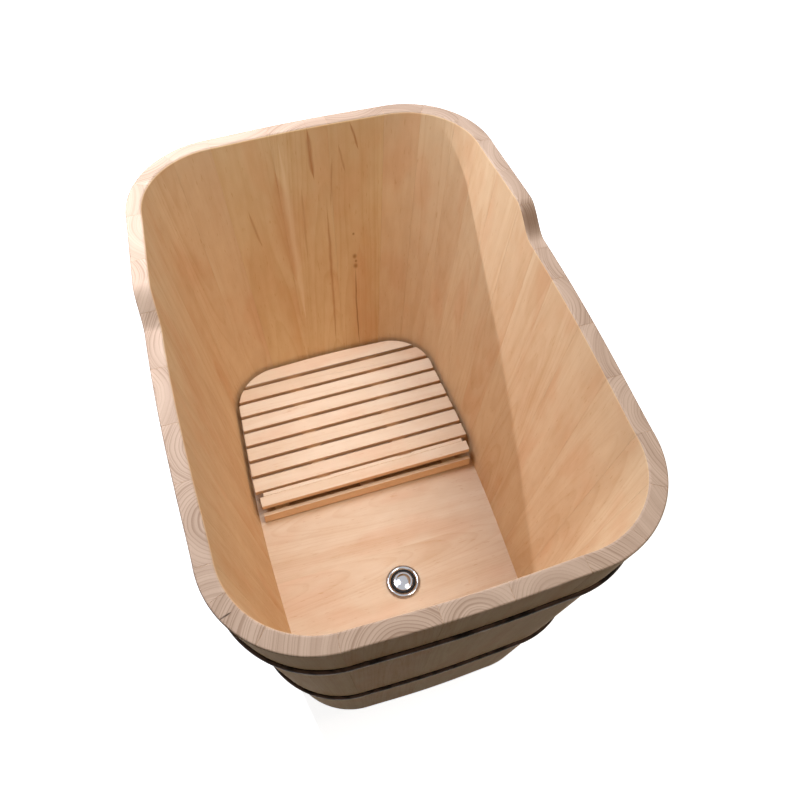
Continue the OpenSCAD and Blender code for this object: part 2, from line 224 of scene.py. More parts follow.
def finish_mesh(name, bm, body, node, material, log=None):
    """Makes the object that stands for the CAD node, smooth but for its real corners."""
    bmesh.ops.recalc_face_normals(bm, faces=bm.faces)
    mesh = bpy.data.meshes.new(name)
    bm.to_mesh(mesh)
    bm.free()
    mesh.shade_smooth()
    mesh.set_sharp_from_angle(angle=math.radians(40))
    piece = bpy.data.objects.new(name, mesh)
    piece.modifiers.new("even_shading", "WEIGHTED_NORMAL").keep_sharp = True
    bpy.context.scene.collection.objects.link(piece)
    if log:
        write_grain(mesh, log)
    mesh.materials.append(material)
    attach(piece, body)
    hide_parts(node)
    return piece


class Log:
    """The log that a board was sawn from, seen from the board.

    `along` runs up the log and `out` across it, `pith` is where the heart lies across the board
    and out from it, `shift` how far up the log the board was cut, and `tilt` how steeply the
    heart runs through it. `tone` is how much darker the board is than others.
    """

    def __init__(self, origin, along, out, pith, tone, shift, tilt=0.0):
        self.origin = Vector(origin)
        self.along = Vector(along).normalized()
        self.out = Vector(out)
        self.out = (self.out - self.along * self.out.dot(self.along)).normalized()
        self.side = self.along.cross(self.out)
        self.pith = pith
        self.tone = tone
        self.shift = shift
        self.tilt = tilt

    def place(self, point):
        p = Vector(point) - self.origin
        length = p.dot(self.along)
        depth = p.dot(self.out) - self.pith[1] + self.tilt * length
        return p.dot(self.side) - self.pith[0], length + self.shift, depth


def write_grain(mesh, log):
    """Writes each corner's place in the log and the board's tone, and how each face is cut.

    The end-grain attribute is 0 along the grain and 1 across it. It rises above 1 on the slopes
    of the rim, most in the middle of each: painted shade that darkens them below the rim's top,
    far more on the right slope than on the left.
    """
    grain = mesh.attributes.new("grain", "FLOAT_VECTOR", "POINT")
    for i, v in enumerate(mesh.vertices):
        grain.data[i].vector = log.place(v.co)
    end = mesh.attributes.new("end_grain_and_slope_shade", "FLOAT", "FACE")
    for i, p in enumerate(mesh.polygons):
        if abs(p.normal.dot(log.along)) > CROSS_CUT:
            # Painted shade: the slopes of the rim are darkened beyond their end grain, more on the
            # right.
            slope = PAINTED_SHADE_RIGHT_SLOPE if p.center.x > 0 else PAINTED_SHADE_LEFT_SLOPE
            t = climb_at(p.center.y) if p.center.z > low_rim else 0
            end.data[i].value = 1 + slope * (4 * t * (1 - t)) ** 2
    tone = mesh.attributes.new("tone", "FLOAT", "POINT")
    for i in range(len(mesh.vertices)):
        tone.data[i].value = log.tone


def loft(bm, rings, closed=False):
    """Skins the rings in turn, and closes either the round or both ends."""
    rows = [[bm.verts.new(p) for p in ring] for ring in rings]
    m = len(rows[0])
    pairs = list(zip(rows, rows[1:]))
    if closed:
        pairs.append((rows[-1], rows[0]))
    for a, b in pairs:
        for j in range(m):
            bm.faces.new((a[j], a[(j + 1) % m], b[(j + 1) % m], b[j]))
    if not closed:
        bm.faces.new(rows[0][::-1])
        bm.faces.new(rows[-1])


def quarter_turn(steps):
    return [math.pi / 2 * i / steps for i in range(steps + 1)]


# ---- Staves ----


def wall_section(top, shrink):
    """Section of the wall as (inset, height), up the outside and down the inside."""
    out, inn = shrink, WALL - shrink
    section = [(out + FOOT_ARRIS, shrink), (out, FOOT_ARRIS + shrink)]
    for z in hoop_heights:
        low, high = z - GROOVE_WIDTH / 2, z + GROOVE_WIDTH / 2
        section += [(out, low - GROOVE_ARRIS), (out + GROOVE_ARRIS, low)]
        section += [(GROOVE_DEPTH, low), (GROOVE_DEPTH, high)]
        section += [(out + GROOVE_ARRIS, high), (out, high + GROOVE_ARRIS)]
    for a in quarter_turn(5):
        r = RIM_ROUND_OUTER
        section.append((out + r * (1 - math.cos(a)), top - shrink - r * (1 - math.sin(a))))
    for a in reversed(quarter_turn(5)):
        r = RIM_ROUND_INNER
        section.append((inn - r * (1 - math.cos(a)), top - shrink - r * (1 - math.sin(a))))
    section += [(inn, floor_top), (inn - CROZE, floor_top), (inn - CROZE, floor_bottom)]
    section += [(inn, floor_bottom), (inn, FOOT_ARRIS + shrink), (inn - FOOT_ARRIS, shrink)]
    return section


def wall_ring(distance, shrink=0.0):
    place = place_at(distance)
    return [spot(z, inset, place) for inset, z in wall_section(rim_z(place), shrink)]


def ring_distances(start, end):
    """Where a stave's rings stand: at its rounded arrises, at bends, and evenly between."""
    bends = [sum(LENGTHS[:s]) for s in range(len(LENGTHS) + 1)]
    inside = [b for b in bends if start + 2 * MM < b < end - 2 * MM]
    inner = [start + ARRIS] + inside + [end - ARRIS]
    out = []
    for a, b in zip(inner, inner[1:]):
        stretch, _ = place_at((a + b) / 2)
        pitch = CORNER_PITCH if stretch % 2 == 0 else SIDE_PITCH
        ys = [spot(low_rim, 0, place_at(d)).y for d in (a, b)]
        if min(ys) < STEP_Y + STEP_LENGTH / 2 and max(ys) > STEP_Y - STEP_LENGTH / 2:
            pitch = STEP_PITCH
        n = math.ceil((b - a) / pitch)
        out += [mix(a, b, k / n) for k in range(n)]
    return out + [inner[-1]]


def group_start(g):
    """Where group g of staves starts along the rim; after the last comes the first again."""
    return sum(LENGTHS[:g]) + STAVE_GROUPS[g % len(STAVE_GROUPS)][1] * MM


def stave_joints():
    """Every stave as (name, first joint, second joint) along the rim."""
    staves = []
    for g, (name, _, widths) in enumerate(STAVE_GROUPS):
        start, end = group_start(g), group_start(g + 1)
        done = 0
        for i, width in enumerate(widths):
            a = mix(start, end, done / sum(widths))
            done += width
            staves.append((f"{name}_{i + 1}", a, mix(start, end, done / sum(widths))))
    return staves


def make_stave(name, start, end, heart, tone, shift, tilt, material):
    """A stave as rings of the wall's section, drawn in at both joints for its arrises.

    `heart` is where the heart of the log lay from the middle of the stave's rim, in mm.
    """
    bm = bmesh.new()
    partly = 0.3 * ARRIS
    rings = [wall_ring(start, ARRIS), wall_ring(start + partly, partly)]
    rings += [wall_ring(d) for d in ring_distances(start, end)]
    rings += [wall_ring(end - partly, partly), wall_ring(end, ARRIS)]
    loft(bm, rings)
    middle = place_at((start + end) / 2)
    top = spot(low_rim, WALL / 2, middle)
    foot = spot(0, WALL / 2, middle)
    out = spot(low_rim, 0, middle) - spot(low_rim, WALL, middle)
    log = Log(top, top - foot, out, Vector(heart) * MM, tone, shift, tilt)
    return finish_mesh("stave_" + name.replace("_stave", ""), bm, "tub", name, material, log)


# ---- Boards ----


def plank(name, node, body, material, log, plans, low, high, ease, hole=None):
    """Boards with these plans between two heights, their edges eased by `ease`.

    `hole` is a round hole through them, as (x, y, radius).
    """
    bm = bmesh.new()
    if hole:
        x, y, r = hole
        sides = 64
        turns = [2 * math.pi * i / sides for i in range(sides)]
        plans = plans + [[(x + r * math.cos(a), y + r * math.sin(a)) for a in turns]]
    for plan in plans:
        loop = [bm.verts.new((p[0], p[1], low)) for p in plan]
        if hole:
            for a, b in zip(loop, loop[1:] + loop[:1]):
                bm.edges.new((a, b))
        else:
            bm.faces.new(loop)
    if hole:
        bmesh.ops.triangle_fill(bm, use_beauty=True, edges=bm.edges[:])
    lift = bmesh.ops.extrude_face_region(bm, geom=bm.faces[:])
    moved = [v for v in lift["geom"] if isinstance(v, bmesh.types.BMVert)]
    bmesh.ops.translate(bm, vec=(0, 0, high - low), verts=moved)
    bmesh.ops.recalc_face_normals(bm, faces=bm.faces)
    sharp = [e for e in bm.edges if e.calc_face_angle(0) > math.radians(25)]
    bmesh.ops.bevel(bm, geom=sharp, offset=ease, segments=3, profile=0.5, affect="EDGES")
    return finish_mesh(name, bm, body, node, material, log)


def keep_between(points, low, high):
    """The part of a rounded plan outline between two lines across the tub."""
    for limit, sign in ((low, 1), (high, -1)):
        kept = []
        for a, b in zip(points, points[1:] + points[:1]):
            da, db = (a[1] - limit) * sign, (b[1] - limit) * sign
            if da >= 0:
                kept.append((a[0], a[1]))
            if da * db < 0:
                t = da / (da - db)
                kept.append((mix(a[0], b[0], t), limit))
        points = kept
    return points


def oblong(low, high):
    return [(low.x, low.y), (high.x, low.y), (high.x, high.y), (low.x, high.y)]


def board_log(low, high, heart, tone, shift, along=(1, 0, 0), out=(0, 0, 1), tilt=0.0):
    """The log of a board between these corners; `heart` is in mm from the board's middle."""
    return Log((low + high) / 2, along, out, Vector(heart) * MM, tone, shift, tilt)


# ---- Materials ----

# Map Range takes the value at 0, what it goes from at 1 and 2, and what it goes to at 3 and 4.
SOFT_STEP = {"interpolation_type": "SMOOTHSTEP"}
# Mix takes its share at 0 and, for colours, what it goes from at 6 and what it goes to at 7.
IN_COLOUR = {"data_type": "RGBA"}


def colour(hex_code):
    """sRGB hex to the linear colour that Blender mixes in."""
    parts = [int(hex_code[i : i + 2], 16) / 255 for i in (1, 3, 5)]
    return [c / 12.92 if c <= 0.04045 else ((c + 0.055) / 1.055) ** 2.4 for c in parts] + [1]


def feed(tree, node, inputs):
    """Sets each input to a value, or links it to a socket or to a node's first output in use."""
    for key, value in inputs.items():
        if isinstance(value, bpy.types.Node):
            value = next(s for s in value.outputs if s.enabled)
        if isinstance(value, bpy.types.NodeSocket):
            tree.links.new(value, node.inputs[key])
        else:
            node.inputs[key].default_value = value


def add(tree, kind, inputs=None, **settings):
    """Adds a node with its settings and links."""
    node = tree.nodes.new("ShaderNode" + kind)
    for key, value in settings.items():
        setattr(node, key, value)
    feed(tree, node, inputs or {})
    return node


def surface(name):
    """A new material, its node tree and its shader."""
    material = bpy.data.materials.new(name)
    material.use_nodes = True
    return material, material.node_tree, material.node_tree.nodes["Principled BSDF"]


def drawn(tree, log, across, along, detail, rough=0.5):
    """Noise as wide as `across` and as long as `along`, in mm of the log."""
    inputs = {0: log, 1: (1 / across, 1 / along, 1 / across)}
    scaled = add(tree, "VectorMath", inputs, operation="MULTIPLY")
    inputs = {"Vector": scaled, "Scale": 1.0, "Detail": detail, "Roughness": rough}
    return add(tree, "TexNoise", inputs)


def stirred(tree, vector, noise, size):
    """The vector pushed about by the noise, by up to half of `size`."""
    inputs = {0: noise.outputs["Color"], 1: (0.5, 0.5, 0.5)}
    push = add(tree, "VectorMath", inputs, operation="SUBTRACT")
    inputs = {0: push, 1: (size, size, size), 2: vector}
    return add(tree, "VectorMath", inputs, operation="MULTIPLY_ADD")


def built_up(tree, base, *shares):
    """The base with each pattern added to it by its share."""
    for pattern, share in shares:
        base = add(tree, "Math", {0: pattern, 1: share, 2: base}, operation="MULTIPLY_ADD")
    return base


def growth_rings(tree, log):
    """How near a spot is to the dark end of its year's ring, and how dark its decade grew."""
    # The log's heart wanders by some 5 mm, slowly along the log.
    bent = stirred(tree, log, drawn(tree, log, 120, 600, 1.5), 16)
    bent = stirred(tree, bent, drawn(tree, log, 26, 150, 1.0), 3)
    flat = add(tree, "VectorMath", {0: bent, 1: (1, 0, 1)}, operation="MULTIPLY")
    radius = add(tree, "VectorMath", {0: flat}, operation="LENGTH")

    # Rings 4.8 mm apart on average round the heart, some wide and some tight. Real ones are 2 to
    # 3 mm, and are drawn wider so that they show.
    inputs = {"W": radius, "Scale": 1 / 17, "Detail": 2.0}
    years = add(tree, "TexNoise", inputs, noise_dimensions="1D")
    inputs = {0: built_up(tree, radius, (years, 16.0)), 1: 4.8}
    age = add(tree, "Math", inputs, operation="DIVIDE")
    season = add(tree, "Math", {0: age}, operation="FRACT")
    # Each ring darkens slowly towards autumn and ends sharply.
    darkens = add(tree, "MapRange", {0: season, 1: 0.35, 2: 0.9}, **SOFT_STEP)
    ends = add(tree, "MapRange", {0: season, 1: 0.9, 2: 1.0, 3: 1.0, 4: 0.0}, **SOFT_STEP)
    latewood = add(tree, "Math", {0: darkens, 1: ends}, operation="MULTIPLY")
    latewood = add(tree, "Math", {0: latewood, 1: 1.6}, operation="POWER")

    # Groups of years that grew darker, about 22 mm across.
    inputs = {"W": radius, "Scale": 1 / 22, "Detail": 1.0}
    decades = add(tree, "TexNoise", inputs, noise_dimensions="1D")
    band = add(tree, "MapRange", {0: decades, 1: 0.36, 2: 0.64}, **SOFT_STEP)
    return latewood, band


def draw_line(tree, wood, where, wear, line):
    """Stains the wood along a line that tapers off at both ends.

    `line` is its two ends, its half width in mm, its colour and its strength.
    """
    start, finish, half, tint, strength = line
    run = finish - start
    gone = add(tree, "VectorMath", {0: where, 1: start}, operation="SUBTRACT")
    inputs = {0: gone, 1: run / run.length_squared}
    share = add(tree, "Clamp", {0: add(tree, "VectorMath", inputs, operation="DOT_PRODUCT")})
    foot = add(tree, "VectorMath", {0: run, "Scale": share}, operation="SCALE")
    gap = add(tree, "VectorMath", {0: gone, 1: foot}, operation="DISTANCE")
    # From 0 at either end of the line to 0.5 in its middle.
    inside = add(tree, "Math", {0: share, 1: 0.5}, operation="PINGPONG")
    taper = add(tree, "MapRange", {0: inside, 1: -0.02, 2: 0.3}, **SOFT_STEP)
    # The stain is gone at 1.6 times the half width.
    fades_at = add(tree, "Math", {0: taper, 1: half * MM * 1.6}, operation="MULTIPLY")
    off = add(tree, "Math", {0: gap, 1: fades_at}, operation="DIVIDE")
    near = add(tree, "MapRange", {0: off, 3: strength, 4: 0.0}, **SOFT_STEP)
    cover = add(tree, "Math", {0: near, 1: wear}, operation="MULTIPLY")
    return add(tree, "Mix", {0: cover, 6: wood, 7: colour(tint)}, **IN_COLOUR)


def draw_knot(tree, wood, where, x, z, size):
    """Stains the wood with a pin knot, a little taller than it is wide."""
    away = add(tree, "VectorMath", {0: where, 1: Vector((x, 0, z)) * MM}, operation="SUBTRACT")
    inputs = {0: away, 1: [1 / (size * MM), 0, 0.7 / (size * MM)]}
    shape = add(tree, "VectorMath", inputs, operation="MULTIPLY")
    far = add(tree, "VectorMath", {0: shape}, operation="LENGTH")
    cover = add(tree, "MapRange", {0: far, 1: 0.2, 2: 1.5, 3: 0.7, 4: 0.0}, **SOFT_STEP)
    return add(tree, "Mix", {0: cover, 6: wood, 7: colour("#94602F")}, **IN_COLOUR)


def draw_marks(tree, wood, log, fibre, marks, knots, split):
    """Draws streaks and knots as the back wall shows them, or the split as the rim shows it."""
    lines = [(Vector((m[0], 0, m[1])) * MM, Vector((m[2], 0, m[3])) * MM, *m[4:]) for m in marks]
    seen, wander = (1, 0, 1), 7 * MM
    if split:
        lines = [(*(Vector((x, y, 0)) * MM for x, y in split), 1.3, "#33241A", 0.95)]
        seen, wander = (1, 1, 0), 1.5 * MM
    place = add(tree, "NewGeometry").outputs["Position"]
    where = stirred(tree, place, drawn(tree, log, 40, 90, 2.0), wander)
    where = add(tree, "VectorMath", {0: where, 1: seen}, operation="MULTIPLY")
    # The lines are worn thin where the fibre is pale.
    wear = add(tree, "MapRange", {0: fibre, 1: 0.2, 2: 0.6, 3: 0.55, 4: 1.0}, **SOFT_STEP)
    for line in lines:
        wood = draw_line(tree, wood, where, wear, line)
    for x, z, size in knots:
        wood = draw_knot(tree, wood, where, x, z, size)
    return wood


def hinoki(name, pale, dark, end_pale, end_dark, edge=None, marks=(), knots=(), split=None):
    """Planed hinoki cypress, left unpainted.

    Its growth rings show as soft honey bands along the face and as fine arcs on the end grain,
    with a silky fibre, no pores and a low sheen. `edge` is painted shade: an amber multiplied into
    every upright face, darkening it more than the tops. `marks` are streaks in the back wall, each
    (x, z) at its top and at its foot, its half width, its colour and its strength. `knots` are
    (x, z, size). `split` is a drying crack in the rim, from one (x, y) to another. All of these
    are in mm.
    """
    material, tree, shader = surface(name)
    in_log = add(tree, "Attribute", attribute_name="grain").outputs["Vector"]
    end = add(tree, "Attribute", attribute_name="end_grain_and_slope_shade").outputs["Fac"]
    tone = add(tree, "Attribute", attribute_name="tone").outputs["Fac"]
    log = add(tree, "VectorMath", {0: in_log, "Scale": 1 / MM}, operation="SCALE")
    latewood, band = growth_rings(tree, log)
    # The rings stand out on some boards and hardly show on others.
    inputs = {0: drawn(tree, log, 90, 900, 0.0), 1: 0.38, 2: 0.62, 3: 0.35, 4: 1.0}
    clearness = add(tree, "MapRange", inputs, **SOFT_STEP)
    clear = add(tree, "Math", {0: latewood, 1: clearness}, operation="MULTIPLY")
    # Fibres: really 0.04 mm, drawn 1.6 mm wide so that they show, and 110 mm long.
    fibre = drawn(tree, log, 1.6, 110, 4.0, 0.62)
    # Darker streaks 12 mm wide, clouds as wide as a board, and a mottle of 20 by 55 mm.
    streak = drawn(tree, log, 12, 360, 2.0)
    cloud = drawn(tree, log, 120, 260, 1.0)
    mottle = drawn(tree, log, 20, 55, 2.0)
    # Short dark flecks where fibres were cut across: really 0.3 mm, drawn 2.4 mm wide.
    inputs = {0: drawn(tree, log, 2.4, 24, 1.0), 1: 0.67, 2: 0.77}
    fleck = add(tree, "MapRange", inputs, **SOFT_STEP)

    # How far the wood goes from pale to dark, along the grain and where it is cut across.
    face = built_up(
        tree, -0.29, (fleck, 0.34), (fibre, 0.24), (band, 0.15), (clear, 0.16),
        (tone, 0.18), (mottle, 0.38), (cloud, 0.42), (streak, 0.30),
    )
    # Above 1, the end-grain value adds painted shade on the slopes of the rim.
    cut = built_up(
        tree, -0.73, (fibre, 0.2), (tone, 0.16), (band, 0.22), (clear, 0.46), (end, 0.75),
    )
    long_grain = add(tree, "Mix", {0: face, 6: colour(pale), 7: colour(dark)}, **IN_COLOUR)
    # Rosy patches in the heartwood, 70 by 190 mm.
    inputs = {0: drawn(tree, log, 70, 190, 2.0), 1: 0.48, 2: 0.70, 3: 0.0, 4: 0.36}
    rosy = add(tree, "MapRange", inputs, **SOFT_STEP)
    inputs = {0: rosy, 6: long_grain, 7: colour("#F9E0D5")}
    long_grain = add(tree, "Mix", inputs, blend_type="MULTIPLY", **IN_COLOUR)
    end_grain_and_slope_shade = add(tree, "Mix", {0: cut, 6: colour(end_pale), 7: colour(end_dark)}, **IN_COLOUR)
    wood = add(tree, "Mix", {0: end, 6: long_grain, 7: end_grain_and_slope_shade}, **IN_COLOUR)

    if edge:
        # The painted shade fades out where a rounded edge turns up to the top.
        normal = add(tree, "NewGeometry").outputs["True Normal"]
        rise = add(tree, "SeparateXYZ", {0: normal}).outputs["Z"]
        lean = add(tree, "Math", {0: rise}, operation="ABSOLUTE")
        painted_shade_share = add(tree, "MapRange", {0: lean, 1: 0.2, 2: 0.7, 3: 0.75, 4: 0.0}, **SOFT_STEP)
        inputs = {0: painted_shade_share, 6: wood, 7: colour(edge)}
        wood = add(tree, "Mix", inputs, blend_type="MULTIPLY", **IN_COLOUR)
    if marks or split:
        wood = draw_marks(tree, wood, log, fibre, marks, knots, split)

    sheen = add(tree, "MapRange", {0: fibre, 1: 0.3, 2: 0.7, 3: 0.52, 4: 0.64}, **SOFT_STEP)
    relief = built_up(tree, fibre, (latewood, 0.5))
    bump = add(tree, "Bump", {"Height": relief, "Strength": 0.35, "Distance": 0.06 * MM})
    feed(tree, shader, {"Base Color": wood, "Roughness": sheen, "Normal": bump})
    feed(tree, shader, {"IOR": 1.5, "Specular IOR Level": 0.02})
    return material


def metal(name, base, roughness, blotch, dull=None, patina=0.0):
    """A metal whose sheen varies in soft clouds `blotch` mm across.

    `dull` is the colour that it has tarnished to in patches, and `patina` how far they spread.
    The clouds are two or three times as wide as real water and finger marks, so that they show.
    """
    material, tree, shader = surface(name)
    place = add(tree, "TexCoord").outputs["Object"]
    inputs = {"Vector": place, "Scale": 1 / (blotch * MM), "Detail": 5.0, "Roughness": 0.6}
    cloud = add(tree, "TexNoise", inputs)
    inputs = {0: cloud, 1: 0.3, 2: 0.75, 3: roughness * 0.75, 4: roughness * 1.5}
    haze = add(tree, "MapRange", inputs)
    tint = colour(base)
    if dull:
        cover = add(tree, "MapRange", {0: cloud, 1: 0.62 - patina, 2: 0.75 - patina})
        tint = add(tree, "Mix", {0: cover, 6: tint, 7: colour(dull)}, **IN_COLOUR)
    bump = add(tree, "Bump", {"Height": cloud, "Strength": 0.15, "Distance": 0.02 * MM})
    feed(tree, shader, {"Base Color": tint, "Roughness": haze, "Normal": bump, "Metallic": 1.0})
    return material


def rubber(name):
    """Moulded nitrile rubber: near black, with a dull bloom that lifts it to dark grey."""
    material, tree, shader = surface(name)
    place = add(tree, "TexCoord").outputs["Object"]
    # A mould grain of 1.1 mm, where the real one is near 0.1 mm, and a bloom of 14 mm.
    grain = add(tree, "TexNoise", {"Vector": place, "Scale": 900.0, "Detail": 3.0})
    bloom = add(tree, "TexNoise", {"Vector": place, "Scale": 70.0, "Detail": 2.0})
    tint = add(tree, "Mix", {0: bloom, 6: colour("#0C0C0D"), 7: colour("#171717")}, **IN_COLOUR)
    rough = add(tree, "MapRange", {0: grain, 3: 0.45, 4: 0.65})
    bump = add(tree, "Bump", {"Height": grain, "Strength": 0.3, "Distance": 0.03 * MM})
    feed(tree, shader, {"Base Color": tint, "Roughness": rough, "Normal": bump})
    feed(tree, shader, {"Specular IOR Level": 0.25})
    return material


# Planed staves: honey faces with a silky sheen, and greyer end grain on the rim.
STAVE_COLOURS = ("#E7CCA5", "#CBA176", "#C9AF9A", "#90745F")
WALL_WOOD = hinoki("planed_hinoki_stave", *STAVE_COLOURS)
SPLIT_WOOD = hinoki("planed_hinoki_stave_split", *STAVE_COLOURS, split=SPLIT)
# The back wall's own streaks: narrow brown ones, wide reddish ones and two pale ones.
DARK, PALE, RED = "#A9693A", "#F0D9B4", "#C98A5C"
BACK_WOOD = hinoki(
    "planed_hinoki_stave_with_knots", "#E7CDA1", "#CBA170", "#C9AF9A", "#90745F",
    marks=[
        (16, 764, 20, 640, 4.6, DARK, 0.70),
        (41, 590, 28, 140, 3.0, DARK, 0.55),
        (88, 395, 84, 130, 1.8, "#7A4A22", 0.80),
        (100, 760, 115, 690, 2.4, DARK, 0.70),
        (74, 715, 86, 640, 2.2, DARK, 0.45),
        (60, 690, 48, 560, 2.2, DARK, 0.35),
        (-121, 600, -104, 500, 2.6, DARK, 0.45),
        (-8, 640, -14, 430, 2.4, DARK, 0.30),
        (-56, 680, -44, 380, 22.0, RED, 0.40),
        (102, 450, 97, 100, 27.0, RED, 0.36),
        (-40, 750, -36, 250, 7.0, PALE, 0.45),
        (201, 770, 188, 160, 10.0, PALE, 0.50),
    ],
    knots=[(91, 482, 2.4), (90, 419, 4.8), (92, 404, 3.0), (90, 390, 5.2)],
)
# The floor is paler and pinker than the walls, and the slats are the palest: partly painted
# light, standing for the stronger light that falls on them.
FLOOR_WOOD = hinoki("planed_hinoki_floor", "#EEDCC6", "#D3AF8C", "#D0B8A3", "#93775E")
# Painted shade: `edge` darkens every upright face of the seat's wood more than its tops.
SEAT_WOOD = hinoki(
    "planed_hinoki_slat", "#F7E9D6", "#DFC0A0", "#E6CCAC", "#B08D6A", edge="#F6E0C6",
)
# Sawn, not planed, and never seen from above: a duller brown.
BEARER_WOOD = hinoki("sawn_hinoki_bearer", "#DCC6A6", "#B9946E", "#CBAF8F", "#937557")
# Drawn copper rod, browned by age: near black, with a dull sheen and blacker patches.
COPPER = metal("drawn_copper_browned", "#2C1F17", 0.42, 22, dull="#150F0B", patina=0.14)
# Polished chrome plate: cool grey with sharp reflections, faintly clouded by hard water.
CHROME = metal("polished_chrome_plate", "#B6B7BD", 0.09, 9)
# Turned brass, unplated: a satin yellow that has browned in spots.
BRASS = metal("turned_brass", "#B8934E", 0.28, 6, dull="#8C6A3A", patina=0.02)
RUBBER = rubber("moulded_nitrile_rubber")


# ---- The tub ----

chance = random.Random(7)

# Where the heart of the log lay from the middle of the stave's rim, in mm: across, and out
# from the tub (minus is towards the bather). What isn't named is drawn by lot.
HEARTS = {
    "left_stave_6": (6, -34),
    "front_left_stave_1": (150, 30),
    "front_left_stave_2": (130, -60),
    "front_left_stave_3": (190, -6),
    "front_stave_1": (8, 42),
    "front_stave_2": (-4, 30),
    "front_stave_3": (4, 36),
    "front_right_stave_1": (-170, 90),
    "front_right_stave_2": (190, 120),
    "front_right_stave_3": (60, 160),
    "right_stave_1": (-30, 40),
}


def make_staves():
    for name, start, end in stave_joints():
        heart = HEARTS.get(name)
        if heart is None:
            side = chance.choice((-1, 1))
            heart = (chance.uniform(-40, 40), side * chance.uniform(45, 130))
        tone = chance.uniform(-0.45, 0.45)
        shift = chance.uniform(0, 40)
        wood = BACK_WOOD if name.startswith("back_stave") else WALL_WOOD
        if name == "front_left_stave_2":
            wood = SPLIT_WOOD
        tilt = chance.uniform(-0.05, 0.05)
        piece = make_stave(name, start, end, heart, tone, shift, tilt, wood)


def make_hoops():
    around, sides = round(ROUND / CORNER_PITCH), 20
    middle = GROOVE_DEPTH - HOOP_ROD / 2 - HOOP_GAP
    turns = [2 * math.pi * j / sides for j in range(sides)]
    for name, z in zip(("lower_hoop", "upper_hoop"), hoop_heights):
        rings = []
        for i in range(around):
            place = place_at(ROUND * i / around)
            ring = []
            for a in turns:
                at = spot(z, middle - HOOP_ROD / 2 * math.cos(a), place)
                ring.append((at.x, at.y, z + HOOP_ROD / 2 * math.sin(a)))
            rings.append(ring)
        bm = bmesh.new()
        loft(bm, rings, closed=True)
        piece = finish_mesh("hoop_" + name.split("_")[0], bm, "tub", name, COPPER)


# Where the heart of the log lay from the middle of each floor board, in mm: across, and up.
FLOOR_HEARTS = {
    "floor_board_front": (-106, -48),
    "floor_board_2": (-30, 60),
    "floor_board_3": (20, -70),
    "floor_board_back": (40, 90),
}


def make_floor():
    edge = outline(floor_bottom, WALL - CROZE + CROZE_PLAY)
    for name, heart in FLOOR_HEARTS.items():
        low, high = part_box(name)
        # The first and the last board go on into the rounded ends of the groove.
        first, last = name.endswith("front"), name.endswith("back")
        plan = keep_between(edge, -1 if first else low.y, 1 if last else high.y)
        tone, shift = chance.uniform(-0.4, 0.4), chance.uniform(0, 30)
        log = board_log(low, high, heart, tone, shift, tilt=0.07)
        piece = plank(
            name.replace("floor_", "floor_plank_"), name, "tub", FLOOR_WOOD, log,
            [plan], floor_bottom, floor_top, 0.15 * MM,
            hole=(drain.x, drain.y, DRAIN_HOLE) if first else None,
        )


def make_bearers():
    for side in ("left", "right"):
        name = "floor_bearer_" + side
        low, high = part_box(name)
        tone, shift = chance.uniform(-0.5, 0.5), chance.uniform(0, 9)
        log = board_log(low, high, (25, 60), tone, shift, along=(0, 1, 0))
        piece = plank(
            "bearer_" + side, name, "tub", BEARER_WOOD, log,
            [oblong(low, high)], low.z, high.z, 1.5 * MM,
        )


# ---- The seat ----


def make_seat():
    # The slats fit the wall at the seat's height, and what is below their front fits it lower.
    wide = outline(seat_top, WALL + SEAT_GAP, 5 * MM)
    narrow = outline(floor_top, WALL + SEAT_GAP, 5 * MM)
    strips = [(f"seat_slat_{k}", wide, 1.3) for k in range(1, 9)]
    strips += [("seat_nosing", narrow, 1.3), ("seat_front_board", narrow, 1.0)]
    for name, plan, ease in strips:
        low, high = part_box(name)
        heart = (chance.uniform(-50, 50), chance.choice((-1, 1)) * chance.uniform(60, 160))
        tone, shift = chance.uniform(-0.6, 0.6), chance.uniform(0, 20)
        log = board_log(low, high, heart, tone, shift)
        make_seat_piece(name, log, [keep_between(plan, low.y, high.y)], low.z, high.z, ease * MM)
    for name in ("seat_batten_left", "seat_batten_right"):
        low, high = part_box(name)
        tone, shift = chance.uniform(-0.5, 0.5), chance.uniform(0, 9)
        log = board_log(low, high, (30, 80), tone, shift, along=(0, 1, 0))
        make_seat_piece(name, log, [oblong(low, high)], low.z, high.z, 1 * MM)


def make_rail_and_blocks():
    low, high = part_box("seat_cross_rail")
    plan = [(low.x, low.y), (high.x, low.y), (high.x, high.y)]
    for x in (BATTEN_X, -BATTEN_X):
        right, left = x + BATTEN_WIDTH / 2, x - BATTEN_WIDTH / 2
        bottom = high.y - HOUSING
        plan += [(right, high.y), (right, bottom), (left, bottom), (left, high.y)]
    plan.append((low.x, high.y))
    log = board_log(low, high, (30, -70), 0.1, 0, out=(0, -1, 0))
    make_seat_piece("seat_cross_rail", log, [plan], low.z, high.z, RAIL_ARRIS)

    low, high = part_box("seat_spacer_blocks")
    plans = []
    for left in (low.x, -BLOCK_WIDTH / 2, high.x - BLOCK_WIDTH):
        plans.append(oblong(Vector((left, low.y)), Vector((left + BLOCK_WIDTH, high.y))))
    log = board_log(low, high, (20, 60), -0.2, 0)
    make_seat_piece("seat_spacer_blocks", log, plans, low.z, high.z, RAIL_ARRIS)


def make_seat_piece(node, log, plans, low, high, ease):
    name = node.replace("seat_", "bench_")
    piece = plank(name, node, "seat", SEAT_WOOD, log, plans, low, high, ease)


# ---- The waste and its plug ----


